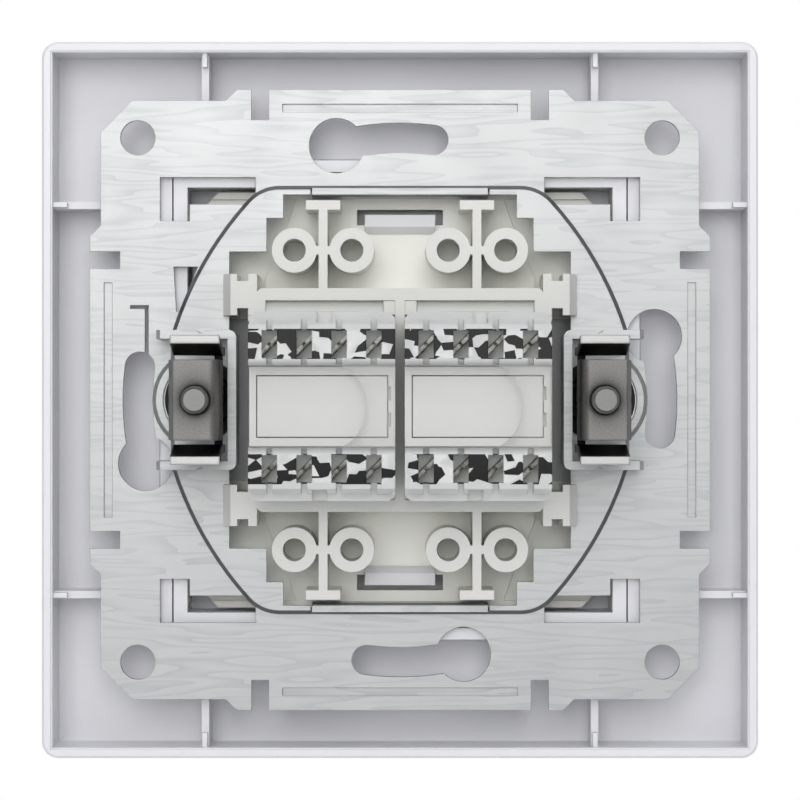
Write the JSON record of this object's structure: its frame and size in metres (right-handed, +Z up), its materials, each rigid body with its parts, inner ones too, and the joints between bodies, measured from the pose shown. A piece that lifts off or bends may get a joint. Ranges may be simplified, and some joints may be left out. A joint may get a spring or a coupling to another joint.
{
  "type": "ethernet wall socket",
  "caption": "Flush ethernet wall socket: cover frame, centre plate, galvanised support plate with spreader claws, and jack modules with clear wiring caps.",
  "frame": {"origin": "centre of the socket in the wall's plane, which is the back face of the support plate's flat sheet", "axes": "+Y into the wall, +Z up, +X to the right for someone who faces the socket"},
  "size_m": [0.082, 0.0308, 0.082],
  "materials": {
    "cover_moulding": "glossy",
    "center_moulding": "glossy",
    "galvanised_sheet": "satin",
    "carrier_moulding": "satin",
    "nickel_plate": "polished",
    "plated_screw": "satin",
    "jack_moulding": "satin",
    "insert_moulding": "satin",
    "gold_contact": "polished",
    "board_laminate": "satin",
    "tinned_contact": "polished",
    "clear_plastic": "glossy"
  },
  "bodies": {
    "base": {"cover_frame": "cover_moulding", "center_plate": "center_moulding", "support_plate": "galvanised_sheet", "module_carrier": "carrier_moulding", "screw_seat_left": "nickel_plate", "jack_housing_left": "jack_moulding", "contact_insert_left": "insert_moulding", "port_contacts_left": "gold_contact", "circuit_board_left": "board_laminate", "rear_body_left": "jack_moulding", "idc_contacts_upper_left": "tinned_contact", "idc_contacts_lower_left": "tinned_contact", "idc_cap_left": "clear_plastic", "screw_seat_right": "nickel_plate", "jack_housing_right": "jack_moulding", "contact_insert_right": "insert_moulding", "port_contacts_right": "gold_contact", "circuit_board_right": "board_laminate", "rear_body_right": "jack_moulding", "idc_contacts_upper_right": "tinned_contact", "idc_contacts_lower_right": "tinned_contact", "idc_cap_right": "clear_plastic"},
    "ring_right": {"screw_retainer_right": "nickel_plate"},
    "screw_right": {"claw_screw_right": "plated_screw"},
    "claw_right": {"claw_right": "nickel_plate"},
    "ring_left": {"screw_retainer_left": "nickel_plate"},
    "screw_left": {"claw_screw_left": "plated_screw"},
    "claw_left": {"claw_left": "nickel_plate"}
  },
  "joints": [
    {"name": "swing_right", "type": "hinge", "parent": "base", "child": "ring_right", "pos_m": [0.0224, 0.0002, 0], "axis": [0, 0, -1], "range_deg": [0, 25]},
    {"name": "turn_right", "type": "hinge", "parent": "ring_right", "child": "screw_right", "pos_m": [0.0224, 0.0002, 0], "axis": [0, 1, 0], "range_deg": [0, 4320]},
    {"name": "travel_right", "type": "slide", "parent": "ring_right", "child": "claw_right", "axis": [0, -1, 0], "range_m": [0, 0.006]},
    {"name": "swing_left", "type": "hinge", "parent": "base", "child": "ring_left", "pos_m": [-0.0224, 0.0002, 0], "axis": [0, 0, 1], "range_deg": [0, 25]},
    {"name": "turn_left", "type": "hinge", "parent": "ring_left", "child": "screw_left", "pos_m": [-0.0224, 0.0002, 0], "axis": [0, 1, 0], "range_deg": [0, 4320]},
    {"name": "travel_left", "type": "slide", "parent": "ring_left", "child": "claw_left", "axis": [0, -1, 0], "range_m": [0, 0.006]}
  ],
  "couplings": [
    {"joint": "swing_right", "follows": "travel_right", "rad_per_m": 72.722},
    {"joint": "turn_right", "follows": "travel_right", "rad_per_m": 12566},
    {"joint": "swing_left", "follows": "travel_left", "rad_per_m": 72.722},
    {"joint": "turn_left", "follows": "travel_left", "rad_per_m": 12566}
  ]
}
